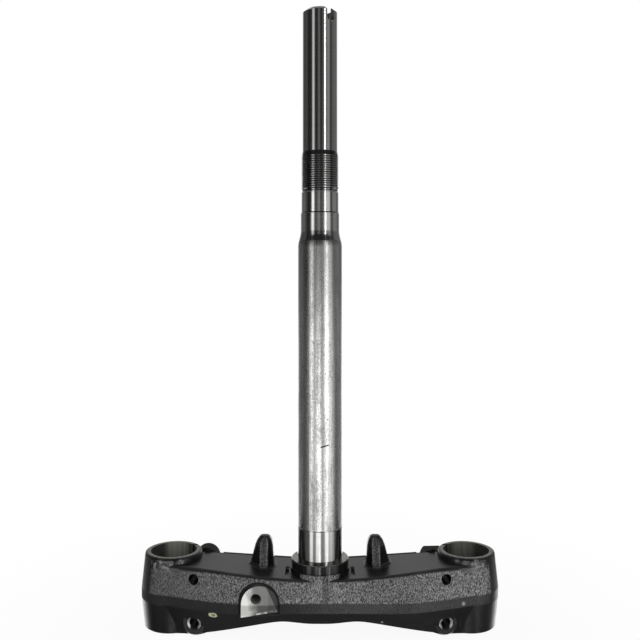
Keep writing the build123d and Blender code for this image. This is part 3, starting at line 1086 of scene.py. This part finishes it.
    def build(self, finish: bpy.types.Material) -> bpy.types.Object:
        """Turn the stem, cut its thread and notch and dress it.

        Args:
            finish: The stem's material.

        Returns:
            The finished piece.
        """
        stem = Shop.turn("turned_stem", self.profile(), self.sides)
        Shop.cut(stem, self.thread_tool())
        Shop.cut(stem, self.notch_tool())
        Shop.pick(stem)
        bpy.ops.object.shade_smooth_by_angle(angle=math.radians(self.smooth_angle))
        stem.data.materials.clear()
        stem.data.materials.append(finish)
        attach(stem, ROOT)
        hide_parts("steering_stem")
        return stem


@dataclass
class ForkYoke:
    """The forged yoke, which keeps its CAD shape and gets its finish here."""

    node: str = "lower_yoke"

    def build(self, finish: bpy.types.Material) -> bpy.types.Object:
        """Dress the CAD yoke.

        Args:
            finish: The yoke's material.

        Returns:
            The CAD object.
        """
        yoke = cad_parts[self.node]
        for slot in yoke.material_slots:
            slot.material = finish
        return yoke


class Band(Enum):
    """The heights at which the studio's panels differ, from the table to the lid."""

    TABLE = "table"
    LOW = "low"
    MIDDLE = "middle"
    HIGH = "high"
    TOP = "top"


@dataclass(frozen=True)
class Panels:
    """Grey and white panels round the part: degrees to the right of the camera, then brightness."""

    table: tuple = (
        (-180, 3.2), (-126, 3.2), (-106, 0.12), (-96, 0.06), (-3, 0.06), (-2, 8.0), (0, 8.0), (1, 0.06),
        (36, 0.06), (37, 7.0), (38, 7.0), (39, 0.06), (96, 0.08), (106, 0.12), (126, 3.2), (180, 3.2),
    )
    low: tuple = (
        (-180, 1.6), (-158, 1.6), (-140, 0.18), (-95, 0.15), (-91, 0.08), (-79, 0.08), (-76, 0.16),
        (-56, 0.17), (-49, 2.2), (-38, 2.2), (-35, 0.48), (-22, 0.48), (-18, 2.4), (2, 2.4), (5, 0.48),
        (22, 0.48), (27, 2.4), (43, 2.4), (46, 0.7), (51, 1.3), (65, 1.3), (68, 0.7), (76, 0.7),
        (80, 0.13), (102, 0.13), (108, 0.23), (122, 0.23), (140, 0.18), (158, 1.6), (180, 1.6),
    )
    middle: tuple = (
        (-180, 0.6), (-150, 0.6), (-144, 0.2), (-104, 0.23), (-96, 0.1), (-86, 0.1), (-80, 0.03),
        (-64, 0.04), (-56, 0.12), (-48, 2.3), (-40, 2.3), (-33, 0.16), (-16, 0.15), (-13, 0.4), (-1, 0.4),
        (3, 0.1), (20, 0.22), (27, 0.8), (42, 1.1), (60, 1.1), (66, 0.3), (72, 0.12), (80, 0.12),
        (86, 0.36), (116, 0.36), (122, 0.2), (144, 0.2), (150, 0.6), (180, 0.6),
    )
    high: tuple = (
        (-180, 0.6), (-150, 0.6), (-144, 0.11), (-92, 0.11), (-84, 0.03), (-62, 0.045), (-55, 0.06),
        (-48, 1.15), (-42, 1.15), (-33, 0.05), (-16, 0.04), (-11, 0.22), (-1, 0.22), (3, 0.04),
        (14, 0.06), (24, 0.3), (40, 0.4), (51, 0.3), (54, 0.45), (65, 0.4), (70, 0.08), (80, 0.08),
        (92, 0.2), (132, 0.25), (136, 0.17), (144, 0.17), (150, 0.6), (180, 0.6),
    )
    top_band: tuple = (
        (-180, 0.6), (-150, 0.6), (-144, 0.05), (-90, 0.03), (90, 0.03), (144, 0.05), (150, 0.6),
        (180, 0.6),
    )
    blends: tuple = ((-0.92, -0.81), (-0.17, 0.16), (0.5, 0.62), (1.26, 1.34))
    lid: tuple = grey(0.3)
    lid_level: tuple = (-1.0, 1.0)
    ground: tuple = grey(0.2)
    ground_level: tuple = (1.0, -1.0)
    ground_far: tuple = grey(0.03)
    ground_reach: tuple = (1.7, 1.2)
    radius: float = 2.4
    seam: tuple = (0.03, 0.05)
    sides: int = 96
    bottom: float = -2.0
    top: float = 2.6

    def stops(self, band: Band) -> list:
        """The panels of one band as the stops of a colour ramp.

        Args:
            band: The band.

        Returns:
            Place and colour of each stop.
        """
        found = {
            Band.TABLE: self.table,
            Band.LOW: self.low,
            Band.MIDDLE: self.middle,
            Band.HIGH: self.high,
            Band.TOP: self.top_band,
        }[band]
        return [((degrees + 180.0) / 360.0, grey(value)) for degrees, value in found]

    def finish(self) -> bpy.types.Material:
        """The panels' brightness, by the place on the drum.

        Returns:
            The material.
        """
        material, board = Board.material("panel_light")
        x, y, z = board.split(board.place())
        share = x.angle(y * -1.0) * (1.0 / math.tau) + 0.5
        light = None
        for band, blend in zip(Band, (None,) + self.blends):
            shown = board.node("ShaderNodeValToRGB", {"stops": self.stops(band)}, {0: share}).outputs[0]
            light = shown if blend is None else board.blend(z.step(*blend), light, shown)
        off_axis = x.hypot(y)
        ends = off_axis.step(self.radius - self.seam[0], self.radius - self.seam[1])
        light = board.blend(ends * z.step(*self.lid_level), light, self.lid)
        under = board.blend(off_axis.step(*self.ground_reach), self.ground_far, self.ground)
        light = board.blend(ends * z.step(*self.ground_level), light, under)
        board.end(board.node("ShaderNodeEmission", None, {"Color": light, "Strength": 1.0}))
        return material


@dataclass(frozen=True)
class StripLamp:
    """An area lamp to the right of the camera, on a circle round the part."""

    name: str = "strip_right"
    turn: float = 33.0
    away: float = 1.6
    size: tuple = (0.08, 1.2)
    watts: float = 3.2
    aim: tuple = (0.0, 0.0, 0.33)

    def build(self) -> None:
        """Hang the lamp, level with the point that it faces."""
        aim = Vector(self.aim)
        turn = math.radians(self.turn)
        spot = aim + Vector((self.away * math.sin(turn), -self.away * math.cos(turn), 0.0))
        Shop.clear()
        bpy.ops.object.light_add(type="AREA", location=spot)
        lamp = bpy.context.object
        lamp.name = self.name
        lamp.rotation_euler = (aim - spot).to_track_quat("-Z", "Y").to_euler()
        lamp.data.shape = "RECTANGLE"
        lamp.data.size = self.size[0]
        lamp.data.size_y = self.size[1]
        lamp.data.energy = self.watts
        lamp.visible_camera = False


@dataclass
class Studio:
    """Floor, panels, lamp and camera."""

    sky: float = 0.8
    floor_z: float = -49.2 * MM
    floor_size: float = 12.0
    floor_colour: tuple = grey(0.8)
    floor_white: float = 0.93
    shadow_reach: tuple = (0.12, 0.34)
    eye: tuple = mm(0.0, -545.0, 186.0)
    pitch: float = 91.6
    sensor: float = 36.0
    lens: float = 45.28
    shift_y: float = -0.0992
    clip: tuple = (0.01, 50.0)

    def seen(self, board: Board) -> Wire:
        """Where the background shows: to the camera, in metal and through glass.

        Args:
            board: The board that asks.

        Returns:
            1 for those rays and 0 for the rest.
        """
        path = board.node("ShaderNodeLightPath")
        seen = Wire(board, path.outputs["Is Camera Ray"])
        seen = seen.most(Wire(board, path.outputs["Is Glossy Ray"]))
        return seen.most(Wire(board, path.outputs["Is Transmission Ray"]))

    def world(self) -> None:
        """A white background, with a dimmer sky for diffuse light."""
        world = bpy.data.worlds.new("studio")
        bpy.context.scene.world = world
        world.use_nodes = True
        board = Board(world.node_tree)
        sky = board.node("ShaderNodeBackground", None, {"Color": WHITE, "Strength": self.sky})
        white = board.node("ShaderNodeBackground", None, {"Color": WHITE, "Strength": 1.0})
        board.end(board.mix_shader(self.seen(board), sky, white), "ShaderNodeOutputWorld")

    def floor(self) -> None:
        """A plain pale floor that keeps a soft shadow and goes white further out."""
        Shop.clear()
        bpy.ops.mesh.primitive_plane_add(size=self.floor_size, location=(0.0, 0.0, self.floor_z))
        floor = bpy.context.object
        floor.name = "studio_floor"
        Shop.settle()
        material, board = Board.material("pale_floor")
        x, y, _ = board.split(board.place())
        far = x.hypot(y).step(*self.shadow_reach)
        share = self.seen(board) * (self.floor_white + far * (1.0 - self.floor_white))
        plain = board.node("ShaderNodeBsdfDiffuse", None, {"Color": self.floor_colour})
        white = board.node("ShaderNodeEmission", None, {"Color": WHITE, "Strength": 1.0})
        board.end(board.mix_shader(share, plain, white))
        floor.data.materials.append(material)
        floor.visible_glossy = False

    def panels(self, panels: Panels) -> None:
        """A closed drum of panels, out of the camera's sight, that the steel and the paint reflect.

        Args:
            panels: The panels.
        """
        Shop.clear()
        bpy.ops.mesh.primitive_cylinder_add(
            vertices=panels.sides,
            radius=panels.radius,
            depth=panels.top - panels.bottom,
            end_fill_type="NGON",
            location=(0.0, 0.0, (panels.top + panels.bottom) / 2.0),
        )
        drum = bpy.context.object
        drum.name = "studio_panels"
        Shop.settle()
        drum.data.materials.append(panels.finish())
        drum.visible_camera = False
        drum.visible_diffuse = False
        drum.visible_shadow = False
        drum.visible_transmission = False

    def camera(self) -> None:
        """The camera at the photograph's place."""
        Shop.clear()
        bpy.ops.object.camera_add(location=self.eye, rotation=(math.radians(self.pitch), 0.0, 0.0))
        camera = bpy.context.object
        camera.data.sensor_width = self.sensor
        camera.data.lens = self.lens
        camera.data.shift_y = self.shift_y
        camera.data.clip_start = self.clip[0]
        camera.data.clip_end = self.clip[1]
        bpy.context.scene.camera = camera

    def build(self) -> None:
        """Set the stage."""
        bpy.context.scene.view_settings.view_transform = "Standard"
        self.world()
        self.floor()
        self.panels(Panels())
        StripLamp().build()
        self.camera()


def main() -> None:
    """Build the pieces in order and report each of them."""
    logging.basicConfig(level=logging.INFO, format="%(name)s: %(message)s")
    yoke = ForkYoke().build(BlackForging().make())
    LOG.info("%s dressed, %d faces", yoke.name, len(yoke.data.polygons))
    stem = SteeringStem().build(TurnedSteel().make())
    LOG.info("%s built, %d faces", stem.name, len(stem.data.polygons))
    Studio().build()


if __name__ == "__main__":
    main()
